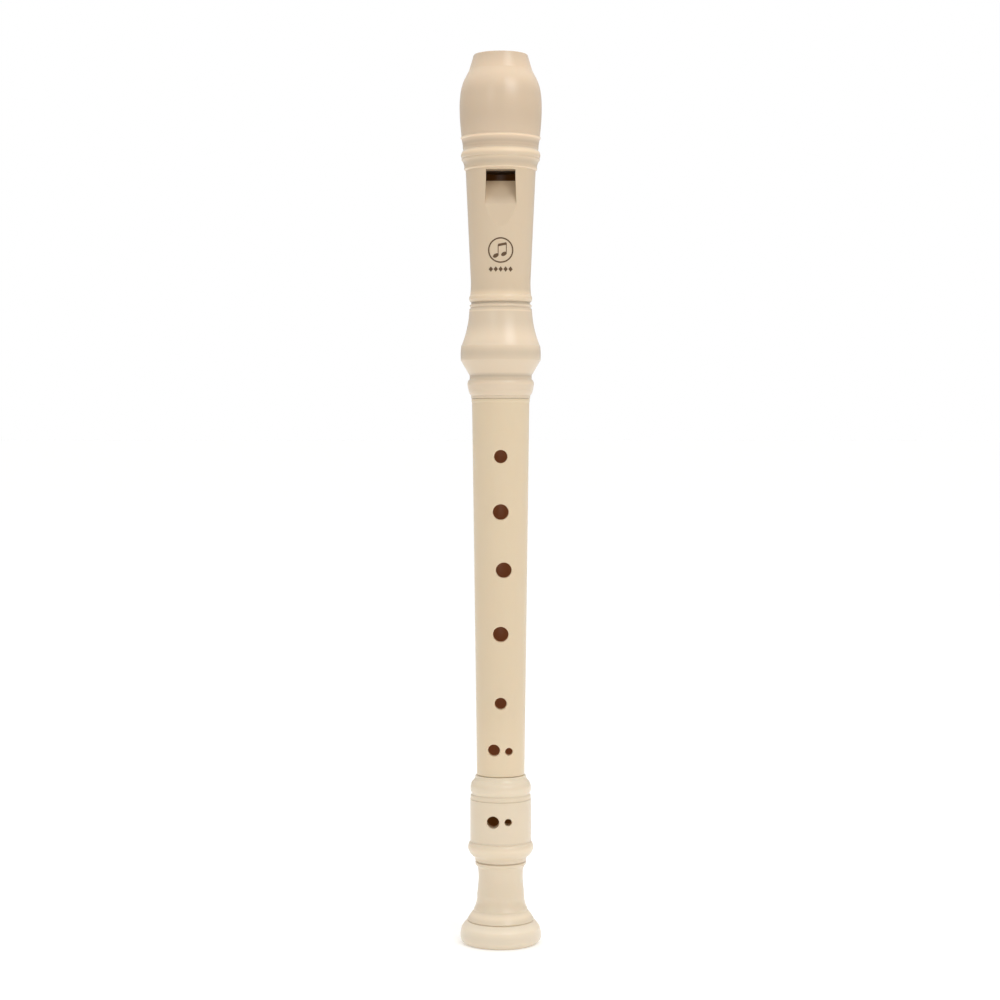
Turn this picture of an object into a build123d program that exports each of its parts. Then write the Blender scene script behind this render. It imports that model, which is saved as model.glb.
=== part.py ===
from build123d import *
import os

# Soprano recorder in three joints. The bore runs along +Z, the foot stands on Z = 0 and the
# window and finger holes face -Y. All sizes are in millimetres.

os.makedirs("parts", exist_ok=True)

# Heights of the seams between the pieces
tip_z = 330.0
cap_seam_z = 294.9
sleeve_seam_z = 238.4
head_end_z = 203.1
foot_rim_z = 62.9
socket_ring_seam_z = 55.85
base_seam_z = 8.4

# Fits
glue_gap = 0.02
running_gap = 0.04
shoulder_gap = 0.1

# Head joint
head_bore_r = 6.85
spigot_r = 10.6
spigot_top_z = 304.5
sleeve_seat_r = 10.0
beak_max_r = 15.15
beak_wall = 2.2
beak_tip_back_y = 0.4
beak_cut_z = 309.45
beak_cut_sag = 2.5
block_set_back = 0.8
past_outside = 20.0

# Windway, window and labium
windway_half_width = 5.35
floor_exit_y = -4.3
floor_entry_y = -4.1
roof_exit_y = -5.5
roof_entry_y = -6.1
window_half_width = 5.4
window_top_z = 286.65
labium_z = 283.1
labium_y = -5.0
labium_land = 0.5
windway_dip = 0.3
ramp_foot_half_width = 5.85

# Tenons and sockets
upper_tenon_r = 8.3
upper_tenon_top_z = 221.05
lower_tenon_r = 7.2
lower_tenon_end_z = 50.45
socket_floor_gap = 0.5
lead_in = 0.6
land_relief = 0.2

# Middle joint
middle_bore_top_r = 6.6
middle_bore_end_r = 5.4
middle_top_r = 10.65
middle_end_r = 8.85
hole_rim_r = 0.35
thumb_hole_z = 188.1
thumb_hole_d = 5.0

# Finger holes of the middle joint: height, sideways offset and diameter
finger_holes = [
    (181.7, 0.0, 4.85),
    (161.3, 0.0, 5.75),
    (139.85, 1.1, 5.7),
    (116.15, 0.0, 5.65),
    (90.5, 0.0, 4.35),
    (73.1, -2.45, 4.35),
    (72.6, 3.0, 2.75),
]

# Foot joint
foot_bore_r = 5.3
foot_bore_top_r = 5.45
foot_bore_top_z = 36.0
foot_bore_mouth_r = 6.4
foot_mouth_depth = 4.0
ring_seat_r = 8.7
base_seat_r = 9.0
base_recess = 0.5
base_r = 15.1
foot_holes = [
    (46.7, -2.8, 4.5),
    (46.7, 2.75, 2.65),
]


def outline(start, *steps):
    """Join steps into one line inside the open BuildLine, and give back its last point.

    A step (r, z) is straight. A step (r, z, sag) is an arc whose middle stands sag off its
    chord, to the left of the way it runs: out of the piece on the way down its outside.
    """
    here = start
    for r, z, *sag in steps:
        if sag:
            SagittaArc(here, (r, z), sag[0])
        else:
            Line(here, (r, z))
        here = (r, z)
    return here


def drill(holes, reach):
    """Drill round holes into the open part from the bore's axis out along Y, as far as reach."""
    for height, offset, diameter in holes:
        with BuildSketch(Plane.XZ) as hole:
            with Locations((offset, height)):
                Circle(diameter / 2)
        extrude(hole.sketch, amount=reach, mode=Mode.SUBTRACT)


def round_rims(inside_r):
    """Round the outer rims of the open part's holes: the edges centred outside inside_r."""
    fillet(edges().filter_by(lambda e: abs(e.center().Y) > inside_r), hole_rim_r)


def save(piece, name):
    """Name a finished piece and write it to its own file."""
    piece.part.label = name
    export_step(piece.part, f"parts/{name}.step")


def behind_beak(inset):
    """The face of all that lies behind the beak's hollow cut, set inset inside that cut."""
    top = (beak_tip_back_y - inset, tip_z)
    foot = (beak_max_r + 0.5 - inset, beak_cut_z - inset)
    with BuildSketch(Plane.YZ) as behind:
        with BuildLine():
            SagittaArc(top, foot, -beak_cut_sag)
            Polyline(foot, (past_outside, foot[1]), (past_outside, tip_z + 1), (top[0], tip_z + 1), top)
        make_face()
    return behind.sketch


def plug(gap, low_z, high_z):
    """Build the block's shape, gap larger all round, from low_z to high_z in the open part.

    It is a round plug with a flat for the windway's floor and a back that follows the beak's
    cut one wall inside it.
    """
    with BuildSketch(Plane.XY.offset(low_z)) as end:
        Circle(head_bore_r - glue_gap + gap)
    extrude(end.sketch, amount=high_z - low_z)
    with BuildSketch(Plane.YZ) as above_floor:
        Polygon(
            (floor_exit_y - gap, window_top_z - 2),
            (floor_entry_y - gap, tip_z),
            (-head_bore_r - 1, tip_z),
            (-head_bore_r - 1, window_top_z - 2),
            align=None,
        )
    extrude(above_floor.sketch, amount=head_bore_r, both=True, mode=Mode.SUBTRACT)
    extrude(behind_beak(beak_wall - gap), amount=head_bore_r + 1, both=True, mode=Mode.SUBTRACT)


# The air channel between the roof and the block, from the window to the tip. It dips into the
# block's seat so that the two join.
with BuildPart() as windway:
    with BuildSketch(Plane.YZ):
        Polygon(
            (roof_exit_y, window_top_z),
            (floor_exit_y + windway_dip, window_top_z),
            (floor_entry_y + windway_dip, tip_z + 0.01),
            (roof_entry_y, tip_z + 0.01),
            align=None,
        )
    extrude(amount=windway_half_width, both=True)

# Block: the plug that fills the head above the bore and carries the windway's floor
with BuildPart() as block:
    plug(0, window_top_z, tip_z - block_set_back)
save(block, "block")

# The block's seat, a hair larger, to hollow out of the head tube and the beak
with BuildPart() as block_seat:
    plug(glue_gap, window_top_z - 1, tip_z - block_set_back + 0.2)

# The beak: a turned bulb with a straighter lip, a small bead and a hollow band at its lower
# edge, cut hollow at the back, and cored from below for the tube's spigot and the block
with BuildPart() as beak_cap:
    with BuildSketch(Plane.XZ):
        with BuildLine():
            lip_end = outline(
                (0, tip_z),
                (9.4, tip_z),
                (10.1, 329.5, 0.2),
                (11.65, 324.25),
            )
            Spline(
                lip_end,
                (13.75, 320.1),
                (14.85, 315.95),
                (beak_max_r, 307.85),
                (14.6, 300.7),
                tangents=[(0.43, -0.9), (-0.1, -0.99)],
            )
            outline(
                (14.6, 300.7),
                (14.5, 299.85),
                (14.45, 298.75, 0.3),
                (14.0, 295.5, -0.12),
                (13.8, cap_seam_z),
                (0, cap_seam_z),
                (0, tip_z),
            )
        make_face()
    revolve(axis=Axis.Z)
    extrude(behind_beak(0), amount=past_outside, both=True, mode=Mode.SUBTRACT)
    with BuildSketch(Plane.XY.offset(cap_seam_z)):
        Circle(spigot_r + glue_gap)
    extrude(amount=spigot_top_z + glue_gap - cap_seam_z, mode=Mode.SUBTRACT)
    add(block_seat.part, mode=Mode.SUBTRACT)
    add(windway.part, mode=Mode.SUBTRACT)
save(beak_cap, "beak_cap")

# The ramp from the outside down to the labium, widening towards its foot
with BuildPart() as ramp:
    with BuildSketch(Plane.XZ):
        Polygon(
            (-window_half_width, window_top_z),
            (window_half_width, window_top_z),
            (window_half_width, labium_z),
            (ramp_foot_half_width, 273.25),
            (ramp_foot_half_width + 0.3, 262.85),
            (-ramp_foot_half_width - 0.3, 262.85),
            (-ramp_foot_half_width, 273.25),
            (-window_half_width, labium_z),
            align=None,
        )
    extrude(amount=past_outside)
    with BuildSketch(Plane.YZ):
        Polygon(
            (-past_outside, window_top_z),
            (labium_y, window_top_z),
            (labium_y, labium_z),
            (-10.9, 274.15),
            (-11.95, 265.7),
            (-12.6, 262.85),
            (-past_outside, 262.85),
            align=None,
        )
    extrude(amount=past_outside, both=True, mode=Mode.INTERSECT)

# Head tube: spigot, collar bead, waisted tube with the window, bead above the sleeve's seam,
# a plain seat for the sleeve and the socket for the middle joint
with BuildPart() as head_tube:
    with BuildSketch(Plane.XZ):
        with BuildLine():
            outline(
                (0, spigot_top_z),
                (spigot_r - 0.4, spigot_top_z),
                (spigot_r, spigot_top_z - 0.4),
                (spigot_r, cap_seam_z - glue_gap),
                (13.8, cap_seam_z - glue_gap),
                (14.0, 294.5),
                (14.35, 291.8, 0.5),
                (14.3, 290.9, 0.15),
                (14.1, 290.7),
                (13.45, 288.25, -0.2),
                (13.4, 287.55, 0.1),
                (12.95, 287.25),
                (11.08, 246.95),
                (11.3, 241.35, -0.1),
                (11.3, 238.85, 0.38),
                (10.9, 238.75),
                (10.9, sleeve_seam_z + glue_gap),
                (sleeve_seat_r, sleeve_seam_z + glue_gap),
                (sleeve_seat_r, head_end_z + 0.4),
                (sleeve_seat_r - 0.4, head_end_z),
                (upper_tenon_r + running_gap + lead_in, head_end_z),
                (upper_tenon_r + running_gap, head_end_z + lead_in),
                (upper_tenon_r + running_gap, upper_tenon_top_z + socket_floor_gap),
                (head_bore_r, upper_tenon_top_z + socket_floor_gap),
                (head_bore_r, window_top_z),
                (0, window_top_z),
                (0, spigot_top_z),
            )
        make_face()
    revolve(axis=Axis.Z)
    # The labium's underside stands in the bore as a flat wedge
    with BuildSketch(Plane.YZ):
        Polygon(
            (-head_bore_r - 0.4, labium_z),
            (labium_y + labium_land, labium_z),
            (labium_y + labium_land - 0.1, labium_z - 1),
            (-head_bore_r - 0.4, 268.8),
            align=None,
        )
    extrude(amount=window_half_width, both=True)
    add(ramp.part, mode=Mode.SUBTRACT)
    with BuildSketch(Plane.YZ):
        Polygon(
            (-past_outside, labium_z),
            (floor_exit_y + 0.1, labium_z),
            (floor_exit_y + 0.1, window_top_z),
            (-past_outside, window_top_z),
            align=None,
        )
    extrude(amount=window_half_width, both=True, mode=Mode.SUBTRACT)
    add(block_seat.part, mode=Mode.SUBTRACT)
    add(windway.part, mode=Mode.SUBTRACT)
save(head_tube, "head_tube")

# Socket sleeve: the bulb over the head tube's lower end, a groove and the end ring
with BuildPart() as socket_sleeve:
    with BuildSketch(Plane.XZ):
        with BuildLine():
            outline(
                (sleeve_seat_r + glue_gap, sleeve_seam_z),
                (10.9, sleeve_seam_z),
                (10.95, 237.95),
                (11.25, 237.8, 0.05),
                (11.25, 237.0, 0.28),
                (11.15, 236.6),
                (11.6, 236.2),
                (14.4, 223.05, -0.58),
                (14.7, 222.15, 0.08),
                (14.8, 217.45, 0.12),
                (14.6, 216.95, 0.05),
                (11.75, 212.05),
                (11.5, 211.55, -0.05),
                (11.5, 210.4),
                (11.85, 210.0, -0.05),
                (12.35, 208.3, 0.15),
                (12.05, 206.4),
                (11.95, 206.3),
                (11.05, 204.3, 0.2),
                (10.95, 204.2),
                (10.95, head_end_z + 0.1),
                (10.85, head_end_z),
                (sleeve_seat_r + glue_gap, head_end_z),
                (sleeve_seat_r + glue_gap, sleeve_seam_z),
            )
        make_face()
    revolve(axis=Axis.Z)
save(socket_sleeve, "socket_sleeve")

# Middle joint: one tapering tube with a tenon at each end, its finger holes and thumb hole
with BuildPart() as middle_tube:
    upper_shoulder_z = head_end_z - shoulder_gap
    lower_shoulder_z = foot_rim_z + shoulder_gap
    with BuildSketch(Plane.XZ):
        with BuildLine():
            outline(
                (middle_bore_top_r, upper_tenon_top_z),
                (upper_tenon_r - lead_in / 2, upper_tenon_top_z),
                (upper_tenon_r, upper_tenon_top_z - lead_in),
                (upper_tenon_r, upper_tenon_top_z - 5),
                (upper_tenon_r - land_relief, upper_tenon_top_z - 5.3),
                (upper_tenon_r - land_relief, upper_shoulder_z + 5.3),
                (upper_tenon_r, upper_shoulder_z + 5),
                (upper_tenon_r, upper_shoulder_z),
                (10.7, upper_shoulder_z),
                (10.8, upper_shoulder_z - 0.1),
                (10.8, 202.0),
                (middle_top_r, 201.6),
                (middle_end_r, lower_shoulder_z + 0.2),
                (middle_end_r - 0.2, lower_shoulder_z),
                (lower_tenon_r, lower_shoulder_z),
                (lower_tenon_r, lower_shoulder_z - 4),
                (lower_tenon_r - land_relief, lower_shoulder_z - 4.3),
                (lower_tenon_r - land_relief, lower_tenon_end_z + 4.3),
                (lower_tenon_r, lower_tenon_end_z + 4),
                (lower_tenon_r, lower_tenon_end_z + lead_in),
                (lower_tenon_r - lead_in / 2, lower_tenon_end_z),
                (middle_bore_end_r, lower_tenon_end_z),
                (middle_bore_top_r, upper_tenon_top_z),
            )
        make_face()
    revolve(axis=Axis.Z)
    drill(finger_holes, middle_top_r + 1)
    drill([(thumb_hole_z, 0.0, thumb_hole_d)], -middle_top_r - 1)
    round_rims(middle_bore_top_r + 0.5)
save(middle_tube, "middle_tube")

# Foot socket ring: the rounded bead round the foot's upper rim
with BuildPart() as foot_socket_ring:
    with BuildSketch(Plane.XZ):
        with BuildLine():
            outline(
                (ring_seat_r + glue_gap, foot_rim_z),
                (9.25, foot_rim_z),
                (9.45, foot_rim_z - 0.3),
                (10.0, 61.1, -0.1),
                (11.25, 57.85, 0.45),
                (11.0, 56.55, 0.1),
                (10.75, socket_ring_seam_z),
                (ring_seat_r + glue_gap, socket_ring_seam_z),
                (ring_seat_r + glue_gap, foot_rim_z),
            )
        make_face()
    revolve(axis=Axis.Z)
save(foot_socket_ring, "foot_socket_ring")

# Foot tube: socket, straight barrel with the double hole, turned bead, deep groove, neck and
# the flare down to the base ring's seam
with BuildPart() as foot_tube:
    with BuildSketch(Plane.XZ):
        with BuildLine():
            outline(
                (lower_tenon_r + running_gap + 0.3, foot_rim_z),
                (ring_seat_r - 0.2, foot_rim_z),
                (ring_seat_r, foot_rim_z - 0.2),
                (ring_seat_r, socket_ring_seam_z - glue_gap),
                (10.75, socket_ring_seam_z - glue_gap),
                (11.2, 55.3),
                (11.25, 54.2),
                (11.1, 54.0),
                (11.35, 53.8),
                (11.35, 38.95),
                (11.3, 38.25),
                (11.2, 38.05),
                (11.75, 37.55),
                (12.15, 35.2, 0.2),
                (11.6, 34.1),
                (9.7, 32.2, 0.2),
                (9.55, 31.65),
                (9.5, 30.95),
                (8.95, 30.75),
                (8.95, 30.45),
                (9.45, 30.25),
                (9.4, 29.45),
                (8.4, 27.4, -0.25),
                (8.3, 22.95, -0.1),
                (8.8, 18.1),
                (9.9, 12.95, -0.35),
                (9.95, 12.3),
                (10.25, 11.9),
                (12.3, 9.0, 0.1),
                (12.4, 8.7),
                (12.1, base_seam_z + glue_gap),
                (base_seat_r, base_seam_z + glue_gap),
                (base_seat_r, base_recess + 0.3),
                (base_seat_r - 0.3, base_recess),
                (foot_bore_mouth_r, base_recess),
                (foot_bore_r, foot_mouth_depth, 0.15),
                (foot_bore_r, foot_bore_top_z),
                (foot_bore_top_r, lower_tenon_end_z - socket_floor_gap),
                (lower_tenon_r + running_gap, lower_tenon_end_z - socket_floor_gap),
                (lower_tenon_r + running_gap, foot_rim_z - lead_in),
                (lower_tenon_r + running_gap + 0.3, foot_rim_z),
            )
        make_face()
    revolve(axis=Axis.Z)
    drill(foot_holes, base_r)
    round_rims(lower_tenon_r + 1)
save(foot_tube, "foot_tube")

# Foot ring: the broad base ring that the recorder stands on
with BuildPart() as foot_ring:
    with BuildSketch(Plane.XZ):
        with BuildLine():
            outline(
                (base_seat_r + glue_gap, base_seam_z),
                (12.1, base_seam_z),
                (12.8, 8.1, 0.05),
                (14.4, 6.2, 0.08),
                (14.7, 5.3, 0.06),
                (base_r, 2.8, 0.1),
                (13.4, 0, 0.5),
                (base_seat_r + glue_gap, 0),
                (base_seat_r + glue_gap, base_seam_z),
            )
        make_face()
    revolve(axis=Axis.Z)
save(foot_ring, "foot_ring")
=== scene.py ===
import math

import bpy
import numpy as np
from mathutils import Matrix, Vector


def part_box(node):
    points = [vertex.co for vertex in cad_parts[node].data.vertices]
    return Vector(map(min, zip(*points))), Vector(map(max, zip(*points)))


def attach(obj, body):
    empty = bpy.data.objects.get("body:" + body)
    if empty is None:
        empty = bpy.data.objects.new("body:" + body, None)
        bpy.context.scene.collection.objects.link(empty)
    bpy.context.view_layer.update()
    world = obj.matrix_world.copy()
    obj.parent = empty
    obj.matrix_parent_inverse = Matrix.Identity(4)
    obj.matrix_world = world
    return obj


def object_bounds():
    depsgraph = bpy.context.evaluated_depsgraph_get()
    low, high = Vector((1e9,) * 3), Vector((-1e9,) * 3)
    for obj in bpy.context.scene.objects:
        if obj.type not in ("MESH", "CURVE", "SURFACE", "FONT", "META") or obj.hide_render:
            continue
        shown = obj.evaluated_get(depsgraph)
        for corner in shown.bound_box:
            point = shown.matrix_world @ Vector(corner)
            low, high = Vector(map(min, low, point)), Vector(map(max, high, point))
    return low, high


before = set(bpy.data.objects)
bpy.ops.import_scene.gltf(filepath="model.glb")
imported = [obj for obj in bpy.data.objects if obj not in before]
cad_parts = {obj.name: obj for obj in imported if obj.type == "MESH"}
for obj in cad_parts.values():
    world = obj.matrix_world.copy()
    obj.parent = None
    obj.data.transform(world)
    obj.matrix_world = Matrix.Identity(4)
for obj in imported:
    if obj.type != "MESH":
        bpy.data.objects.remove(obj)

cad_low, cad_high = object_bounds()

# Camera.
# It stands in front of the finger holes, a little above the middle of the recorder, and tips
# down slightly, so that the foot stands at the bottom of the picture and the beak at the top.
eye_distance = 0.8195
eye_height = 0.1916
eye_left = 0.00025
tip_down = math.radians(1.829)
sensor_width = 36.0
lens = 79.35

camera_data = bpy.data.cameras.new("camera")
camera_data.sensor_width = sensor_width
camera_data.lens = lens
camera = bpy.data.objects.new("camera", camera_data)
camera.location = (-eye_left, -eye_distance, eye_height)
camera.rotation_euler = (math.pi / 2 - tip_down, 0.0, 0.0)
bpy.context.scene.collection.objects.link(camera)
bpy.context.scene.camera = camera

# Light.
# A white studio tent that is brightest overhead and a little brighter behind, with one large
# soft box high on the right and a faint one on the left. The tent shows as plain white.
bpy.context.scene.view_settings.view_transform = "Standard"
tent_middle = 0.22
tent_overhead = 0.98
tent_behind = 0.2

world = bpy.data.worlds.new("tent")
world.use_nodes = True
bpy.context.scene.world = world
tree = world.node_tree
tree.nodes.clear()
facing = tree.nodes.new("ShaderNodeTexCoord")
rise = tree.nodes.new("ShaderNodeVectorMath")
rise.operation = "DOT_PRODUCT"
rise.inputs[1].default_value = (0.0, tent_behind, tent_overhead)
tent = tree.nodes.new("ShaderNodeMath")
tent.inputs[1].default_value = tent_middle
rays = tree.nodes.new("ShaderNodeLightPath")
seen = tree.nodes.new("ShaderNodeMix")
seen.inputs["B"].default_value = 1.0
light = tree.nodes.new("ShaderNodeBackground")
light.inputs["Color"].default_value = (1.0, 1.0, 1.0, 1.0)
out = tree.nodes.new("ShaderNodeOutputWorld")
tree.links.new(facing.outputs["Generated"], rise.inputs[0])
tree.links.new(rise.outputs["Value"], tent.inputs[0])
tree.links.new(rays.outputs["Is Camera Ray"], seen.inputs["Factor"])
tree.links.new(tent.outputs[0], seen.inputs["A"])
tree.links.new(seen.outputs["Result"], light.inputs["Strength"])
tree.links.new(light.outputs[0], out.inputs[0])


def soft_box(name, place, aim, width, height, watts):
    """A rectangular lamp at place, in metres, that faces the point aim."""
    lamp = bpy.data.lights.new(name, "AREA")
    lamp.shape = "RECTANGLE"
    lamp.size = width
    lamp.size_y = height
    lamp.energy = watts
    box = bpy.data.objects.new(name, lamp)
    box.location = place
    toward = np.array(aim) - np.array(place)
    box.rotation_euler = (
        math.atan2(math.hypot(toward[0], toward[1]), -toward[2]),
        0.0,
        math.atan2(-toward[0], toward[1]),
    )
    bpy.context.scene.collection.objects.link(box)


lamp_aim = (0.0, 0.0, 0.25)
soft_box("key_light", (0.58, -0.93, 0.96), lamp_aim, width=0.6, height=0.6, watts=4.0)
soft_box("fill_light", (-0.63, -1.13, 0.7), lamp_aim, width=0.3, height=0.3, watts=0.7)

# Floor.
# A plain pale table under the foot, wide enough to run out of every view.
floor_half = 40.0
floor_glow = 0.2
corners = np.array([(-1, -1, 0), (1, -1, 0), (1, 1, 0), (-1, 1, 0)], float) * floor_half
mesh = bpy.data.meshes.new("floor")
mesh.from_pydata(corners, [], [(0, 1, 2, 3)])
floor = bpy.data.objects.new("floor", mesh)
bpy.context.scene.collection.objects.link(floor)
paper = bpy.data.materials.new("white_paper")
paper.use_nodes = True
shader = paper.node_tree.nodes["Principled BSDF"]
shader.inputs["Base Color"].default_value = (0.93, 0.93, 0.92, 1.0)
shader.inputs["Roughness"].default_value = 0.9
shader.inputs["Emission Color"].default_value = (1.0, 1.0, 1.0, 1.0)
shader.inputs["Emission Strength"].default_value = floor_glow
mesh.materials.append(paper)


# Beak cap.
# The mouthpiece end, an ivory ABS moulding glued over the head tube's spigot. Its beak is cut
# away behind for the lower lip, and teeth and lips have dulled it a little.
def moulded_plastic(
    name,
    ivory,
    warm,
    satin,
    bands=(),
    bore_foot=-0.01,
    bore_top=-0.01,
    shade=(1.0, 1.0, 1.0),
    glow=(0.0, 0.0, 0.0),
    front=-0.02,
    recess=(0.0, 0.0),
):
    """Ivory ABS, dark and faintly glowing where the wall turns inward to the bore.

    Colour: ivory and warm mixed by a broad soft noise, times 1 + the sum of the bands, times
    shade inside the bore. A band (height, half_width, gain) is paler or darker by gain at that
    height and fades out half_width away: painted highlights and painted light on beads, slopes
    and parts near the table, and painted shade in grooves and coves. A recess (radius, gain)
    does the same to what lies deeper than radius from the outside, as painted shade.
    Inside: from 0, rim_depth outside it, to 1 at the radius sqrt(x^2 + y^2) = bore_foot +
    (bore_top - bore_foot) z / length, and only behind y = front. That shade is painted shade,
    and there glow adds a painted glow for the light that soaks through the thin wall.
    Roughness: satin, give or take a fine even noise, and duller along hairline scuffs. A scuff
    is where a second noise crosses its middle value, |noise - 0.5| < scuff_width.
    Height: the fine noise of the mould's skin, minus the scuffs, plus the mould's parting
    line, a low ridge at y = 0.
    """
    length = cad_high[2] - cad_low[2]
    rim_depth = 0.0012
    front_fade = 0.0004
    recess_fade = 0.002
    cloud_waves = 28.0
    grain_waves = 420.0
    scuff_waves = 75.0
    skin_waves = 900.0
    grain_give = 0.04
    scuff_width = 0.006
    scuff_dulling = 0.12
    scuff_depth = 0.12
    skin_height = 0.1
    ridge_half_width = 0.00015
    ridge_height = 0.3
    relief_height = 0.00008
    material = bpy.data.materials.new(name)
    material.use_nodes = True
    nodes = material.node_tree.nodes
    link = material.node_tree.links.new
    shader = nodes["Principled BSDF"]
    where = nodes.new("ShaderNodeTexCoord").outputs["Object"]

    def math_node(operation, first, second=0.0):
        """The output of one maths node; first and second are sockets or numbers."""
        node = nodes.new("ShaderNodeMath")
        node.operation = operation
        for socket, value in zip(node.inputs, (first, second)):
            if isinstance(value, float):
                socket.default_value = value
            else:
                link(value, socket)
        return node.outputs[0]

    def noise(scale, detail):
        """The output of a noise of that many waves in a metre."""
        node = nodes.new("ShaderNodeTexNoise")
        node.inputs["Scale"].default_value = scale
        node.inputs["Detail"].default_value = detail
        link(where, node.inputs["Vector"])
        return node.outputs["Fac"]

    def mix(kind, factor, first, second):
        """The output of a colour mix by a factor socket; first and second may be colours."""
        node = nodes.new("ShaderNodeMix")
        node.data_type = "RGBA"
        node.blend_type = kind
        link(factor, node.inputs["Factor"])
        for key, value in (("A", first), ("B", second)):
            if isinstance(value, tuple):
                node.inputs[key].default_value = (*value, 1.0)
            else:
                link(value, node.inputs[key])
        return node.outputs["Result"]

    place = nodes.new("ShaderNodeSeparateXYZ")
    link(where, place.inputs[0])
    x, y, z = place.outputs
    squares = math_node("ADD", math_node("MULTIPLY", x, x), math_node("MULTIPLY", y, y))
    radius = math_node("SQRT", squares)
    # Mask of the bore's painted shade and painted glow.
    slope = (bore_top - bore_foot) / length
    bore = math_node("ADD", math_node("MULTIPLY", z, slope), bore_foot)
    past = math_node("SUBTRACT", math_node("ADD", bore, rim_depth), radius)
    inward = math_node("DIVIDE", past, rim_depth)
    depth = nodes.new("ShaderNodeClamp")
    link(inward, depth.inputs["Value"])
    behind = nodes.new("ShaderNodeMapRange")
    behind.inputs["From Min"].default_value = front
    behind.inputs["From Max"].default_value = front + front_fade
    link(y, behind.inputs["Value"])
    inside = math_node("MULTIPLY", depth.outputs[0], behind.outputs["Result"])

    # Painted shade and painted highlights: darker deeper than the recess radius, and paler or
    # darker in each band.
    deeper = nodes.new("ShaderNodeMapRange")
    deeper.inputs["From Min"].default_value = recess[0]
    deeper.inputs["From Max"].default_value = recess[0] - recess_fade
    deeper.inputs["To Max"].default_value = recess[1]
    link(radius, deeper.inputs["Value"])
    painted_shading = math_node("ADD", deeper.outputs["Result"], 1.0)
    for height, half_width, gain in bands:
        offset = math_node("ABSOLUTE", math_node("SUBTRACT", z, height))
        away = math_node("DIVIDE", offset, half_width)
        near = nodes.new("ShaderNodeMapRange")
        near.interpolation_type = "SMOOTHSTEP"
        near.inputs["From Min"].default_value = 1.0
        near.inputs["From Max"].default_value = 0.0
        link(away, near.inputs["Value"])
        painted_shading = math_node("ADD", painted_shading, math_node("MULTIPLY", near.outputs["Result"], gain))

    tint = mix("MIX", noise(cloud_waves, 2.0), ivory, warm)
    # The tint scaled by the painted highlights and shade, then darkened by the painted shade
    # inside the bore.
    shaded_tint = nodes.new("ShaderNodeVectorMath")
    shaded_tint.operation = "SCALE"
    link(tint, shaded_tint.inputs[0])
    link(painted_shading, shaded_tint.inputs["Scale"])
    link(mix("MULTIPLY", inside, shaded_tint.outputs[0], shade), shader.inputs["Base Color"])
    # Painted glow: an emission inside the bore, standing in for light that soaks through the
    # wall.
    if any(glow):
        shader.inputs["Emission Color"].default_value = (*glow, 1.0)
        link(inside, shader.inputs["Emission Strength"])

    rough = nodes.new("ShaderNodeMapRange")
    rough.inputs["To Min"].default_value = satin - grain_give
    rough.inputs["To Max"].default_value = satin + grain_give
    link(noise(grain_waves, 2.0), rough.inputs["Value"])
    scuff = nodes.new("ShaderNodeMapRange")
    scuff.interpolation_type = "SMOOTHSTEP"
    scuff.inputs["From Min"].default_value = scuff_width
    scuff.inputs["From Max"].default_value = 0.0
    crossing = math_node("SUBTRACT", noise(scuff_waves, 1.0), 0.5)
    link(math_node("ABSOLUTE", crossing), scuff.inputs["Value"])
    scuffs = scuff.outputs["Result"]
    dull = math_node("MULTIPLY", scuffs, scuff_dulling)
    link(math_node("ADD", rough.outputs["Result"], dull), shader.inputs["Roughness"])

    ridge = nodes.new("ShaderNodeMapRange")
    ridge.interpolation_type = "SMOOTHSTEP"
    ridge.inputs["From Min"].default_value = ridge_half_width
    ridge.inputs["From Max"].default_value = 0.0
    ridge.inputs["To Max"].default_value = ridge_height
    link(math_node("ABSOLUTE", y), ridge.inputs["Value"])
    skin = math_node("MULTIPLY", noise(skin_waves, 1.0), skin_height)
    relief = nodes.new("ShaderNodeBump")
    relief.inputs["Strength"].default_value = 1.0
    relief.inputs["Distance"].default_value = relief_height
    raised = math_node("ADD", skin, ridge.outputs["Result"])
    cut = math_node("MULTIPLY", scuffs, scuff_depth)
    link(math_node("SUBTRACT", raised, cut), relief.inputs["Height"])
    link(relief.outputs["Normal"], shader.inputs["Normal"])

    shader.inputs["Subsurface Weight"].default_value = 0.15
    shader.inputs["Subsurface Radius"].default_value = (1.0, 0.6, 0.35)
    shader.inputs["Subsurface Scale"].default_value = 0.0015
    shader.inputs["IOR"].default_value = 1.54
    shader.inputs["Coat Weight"].default_value = 0.2
    shader.inputs["Coat Roughness"].default_value = 0.25
    return material


def give(node, material):
    """Give a CAD node one material all over."""
    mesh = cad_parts[node].data
    mesh.materials.clear()
    mesh.materials.append(material)


cap_ivory = moulded_plastic(
    "cap_ivory",
    ivory=(0.70, 0.545, 0.39),
    warm=(0.67, 0.515, 0.36),
    satin=0.32,
    # Painted highlights on the beak's upper slope and the bead, and painted shade in the coves
    # beside them.
    bands=(
        (0.3225, 0.0085, 0.22),
        (0.3060, 0.0080, -0.06),
        (0.2991, 0.0008, 0.32),
        (0.2970, 0.0014, -0.17),
        (0.2957, 0.0007, -0.12),
    ),
)
give("beak_cap", cap_ivory)

# Block.
# The plug that fills the head above the bore and leaves the windway over it, pressed in and
# glued. It is left duller than the outside, and its end by the window is painted dark, as
# painted shade.
block_ivory = moulded_plastic(
    "block_ivory",
    ivory=(0.62, 0.47, 0.32),
    warm=(0.54, 0.39, 0.25),
    satin=0.45,
    bands=((0.2867, 0.0040, -0.85),),
)
give("block", block_ivory)

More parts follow.
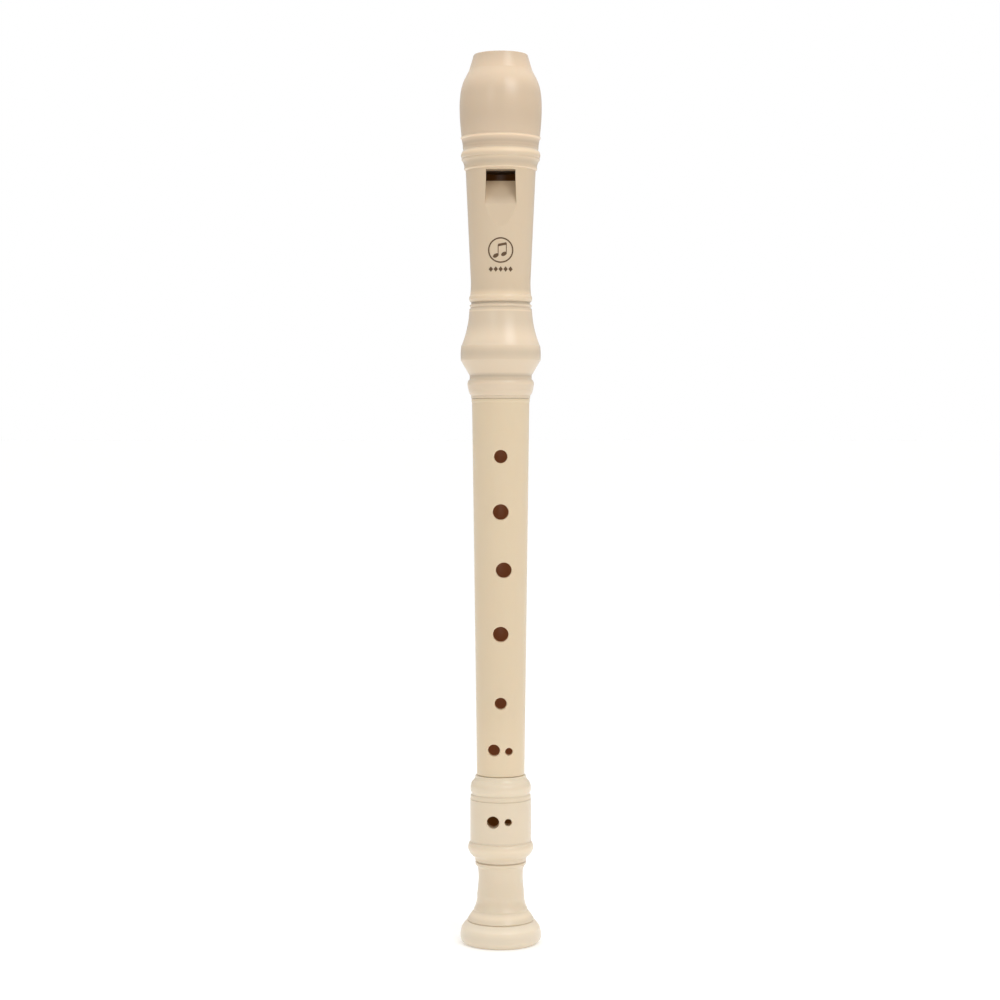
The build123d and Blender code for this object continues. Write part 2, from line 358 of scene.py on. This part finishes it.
# Head tube.
# The head joint's main moulding in glossy ivory ABS. The window and the labium's ramp are
# shaped by the mould's slide, and the bore inside stays in shadow.
head_ivory = moulded_plastic(
    "head_ivory",
    ivory=(0.70, 0.56, 0.395),
    warm=(0.68, 0.53, 0.37),
    satin=0.30,
    # Painted shade darkens the bore behind the window, a faint painted glow lights it, and the
    # recess paints shade on the labium's ramp.
    bore_foot=0.0069,
    bore_top=0.0069,
    shade=(0.12, 0.06, 0.025),
    glow=(0.018, 0.006, 0.001),
    front=-0.0048,
    recess=(0.0110, -0.13),
    # Painted highlights on the ring's edges and the bead above the bulb, and painted shade in
    # the coves.
    bands=(
        (0.2940, 0.0014, 0.32),
        (0.2931, 0.0009, 0.13),
        (0.2897, 0.0017, -0.16),
        (0.2876, 0.0006, 0.12),
        (0.2410, 0.0026, 0.24),
        (0.2385, 0.0004, -0.25),
    ),
)
give("head_tube", head_ivory)

# Socket sleeve.
# The bulb and end ring that strengthen the head's socket, turned to shape in the mould in a
# slightly paler batch of the same plastic, and glued over the head tube's lower end.
sleeve_ivory = moulded_plastic(
    "sleeve_ivory",
    ivory=(0.75, 0.61, 0.45),
    warm=(0.72, 0.58, 0.42),
    satin=0.32,
    # Painted highlights on the bulb's upward slope and its edges, and painted shade in the
    # grooves and under the bulb.
    bands=(
        (0.2382, 0.0005, -0.25),
        (0.2366, 0.0004, -0.12),
        (0.2354, 0.0005, 0.14),
        (0.2250, 0.0070, 0.17),
        (0.2200, 0.0032, -0.10),
        (0.2115, 0.0014, -0.22),
        (0.2088, 0.0010, 0.10),
    ),
)
give("socket_sleeve", sleeve_ivory)

# Middle tube.
# The finger-hole joint, one long tapered moulding with a tenon at each end. Hands keep it
# satin. Painted shade makes its holes red-brown, and a painted glow stands in for the light
# that soaks through its wall.
body_ivory = moulded_plastic(
    "body_ivory",
    ivory=(0.76, 0.62, 0.425),
    warm=(0.745, 0.59, 0.40),
    satin=0.38,
    bore_foot=0.0050,
    bore_top=0.0074,
    shade=(0.5, 0.28, 0.17),
    glow=(0.062, 0.024, 0.010),
    # Painted light: the lower end of the tube is paler, near the table.
    bands=((0.0660, 0.0300, 0.06),),
)
give("middle_tube", body_ivory)

# Foot socket ring.
# The collar glued round the foot's socket, which stops its thin wall splitting.
# It is a paler ivory than the tube below it, and a little glossier.
collar_ivory = moulded_plastic(
    "collar_ivory",
    ivory=(0.84, 0.71, 0.53),
    warm=(0.82, 0.69, 0.51),
    satin=0.30,
)
give("foot_socket_ring", collar_ivory)

# Foot tube.
# The foot joint's moulding, paler than the rest, with the last pair of holes bored side by
# side. Its holes hold painted shade and a faint painted glow, its grooves painted shade, and
# its bead and rims painted highlights.
foot_ivory = moulded_plastic(
    "foot_ivory",
    ivory=(0.81, 0.68, 0.505),
    warm=(0.78, 0.645, 0.475),
    satin=0.32,
    bore_foot=0.0053,
    bore_top=0.0053,
    shade=(0.3, 0.18, 0.08),
    glow=(0.030, 0.011, 0.002),
    bands=(
        (0.0540, 0.0004, -0.10),
        (0.0385, 0.0004, -0.08),
        (0.0360, 0.0025, 0.10),
        (0.0306, 0.0005, -0.15),
        (0.0110, 0.0016, 0.14),
        (0.0084, 0.0003, -0.10),
    ),
)
give("foot_tube", foot_ivory)

# Foot ring.
# The heavy bead at the open end that the recorder stands on, glued on under the foot tube.
# Its shoulder is painted paler, as painted light from the table, and its underside is dulled by
# tables.
ring_ivory = moulded_plastic(
    "ring_ivory",
    ivory=(0.83, 0.72, 0.56),
    warm=(0.81, 0.69, 0.53),
    satin=0.34,
    bands=((0.0062, 0.0028, 0.12),),
)
give("foot_ring", ring_ivory)


# Printed mark.
# A brown pad print on the head tube's front, under the labium: a ring round a pair of beamed
# notes, and a row of lozenges below it. The ink is a film on the plastic.
head_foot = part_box("head_tube")[0][2]
tube_high = head_foot + 0.08415
tube_r_high = 0.01295
tube_low = head_foot + 0.04385
tube_r_low = 0.01108
film = 0.00004
mark_z = head_foot + 0.0541
ring_middle = 0.0044
ring_half = 0.00025
note_half_width = 0.00105
note_half_height = 0.00075
note_tilt = 0.0003
stem_half_width = 0.00014
stem_half_height = 0.0019
lozenge_z = head_foot + 0.0472
lozenge_gap = 0.0018
lozenge_half_width = 0.0008
lozenge_half_height = 0.0010


def print_patch(across, up, wide, tall):
    """One inked patch, as points and faces, wrapped on the head tube's front.

    Across and up give the flat outline as functions of s and t, each over -1 to 1. The point
    then lies at y = -sqrt((r + film)^2 - across^2), where r is the tube's radius at that height.
    """
    s, t = np.meshgrid(np.linspace(-1, 1, wide), np.linspace(-1, 1, tall), indexing="ij")
    x = across(s, t) + 0 * s
    z = up(s, t) + 0 * s
    r = tube_r_high + (tube_r_low - tube_r_high) * (tube_high - z) / (tube_high - tube_low)
    y = -np.sqrt((r + film) ** 2 - x**2)
    corner = np.arange(wide * tall).reshape(wide, tall)
    faces = np.stack([corner[:-1, :-1], corner[1:, :-1], corner[1:, 1:], corner[:-1, 1:]], -1)
    return np.stack([x, y, z], -1).reshape(-1, 3), faces.reshape(-1, 4)


def note_head(x, z):
    """A tilted oval note head: the square's points drawn in to a disc, stretched and sheared."""
    return print_patch(
        lambda s, t: x + note_half_width * s * np.sqrt(1 - t**2 / 2),
        lambda s, t: (
            z
            + note_half_height * t * np.sqrt(1 - s**2 / 2)
            + note_tilt * s * np.sqrt(1 - t**2 / 2)
        ),
        13,
        13,
    )


def bar(x, z, half_width, half_height, rise):
    """An upright bar, whose right side is raised by rise over its left."""
    return print_patch(
        lambda s, t: x + half_width * s, lambda s, t: z + half_height * t + rise * s, 9, 9
    )


patches = [
    print_patch(
        lambda s, t: (ring_middle + ring_half * s) * np.cos(math.pi * t),
        lambda s, t: mark_z + (ring_middle + ring_half * s) * np.sin(math.pi * t),
        3,
        97,
    ),
    note_head(-0.0018, mark_z - 0.0020),
    note_head(0.0012, mark_z - 0.0014),
    bar(-0.00092, mark_z + 0.0001, stem_half_width, stem_half_height, 0.0),
    bar(0.00208, mark_z + 0.0007, stem_half_width, stem_half_height, 0.0),
    bar(0.00058, mark_z + 0.0021, 0.00150, 0.00045, 0.0003),
]
for step in range(-2, 3):
    patches.append(
        print_patch(
            lambda s, t: lozenge_gap * step + lozenge_half_width * (s + t) / 2,
            lambda s, t: lozenge_z + lozenge_half_height * (t - s) / 2,
            5,
            5,
        )
    )
starts = np.cumsum([0] + [len(points) for points, faces in patches])
mesh = bpy.data.meshes.new("printed_mark")
mesh.from_pydata(
    np.concatenate([points for points, faces in patches]),
    [],
    np.concatenate([faces + start for (points, faces), start in zip(patches, starts)]),
)
mesh.shade_smooth()
mark = bpy.data.objects.new("printed_mark", mesh)
bpy.context.scene.collection.objects.link(mark)

ink = bpy.data.materials.new("brown_ink")
ink.use_nodes = True
tree = ink.node_tree
shader = tree.nodes["Principled BSDF"]
where = tree.nodes.new("ShaderNodeTexCoord")
speckle = tree.nodes.new("ShaderNodeTexNoise")
speckle.inputs["Scale"].default_value = 2500.0
tree.links.new(where.outputs["Object"], speckle.inputs["Vector"])
tone = tree.nodes.new("ShaderNodeMix")
tone.data_type = "RGBA"
tone.inputs["A"].default_value = (0.065, 0.030, 0.010, 1.0)
tone.inputs["B"].default_value = (0.17, 0.095, 0.040, 1.0)
tree.links.new(speckle.outputs["Fac"], tone.inputs["Factor"])
tree.links.new(tone.outputs["Result"], shader.inputs["Base Color"])
edge = tree.nodes.new("ShaderNodeBump")
edge.inputs["Strength"].default_value = 0.2
edge.inputs["Distance"].default_value = 0.00002
tree.links.new(speckle.outputs["Fac"], edge.inputs["Height"])
tree.links.new(edge.outputs["Normal"], shader.inputs["Normal"])
shader.inputs["Roughness"].default_value = 0.55
mesh.materials.append(ink)
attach(mark, "head_joint")
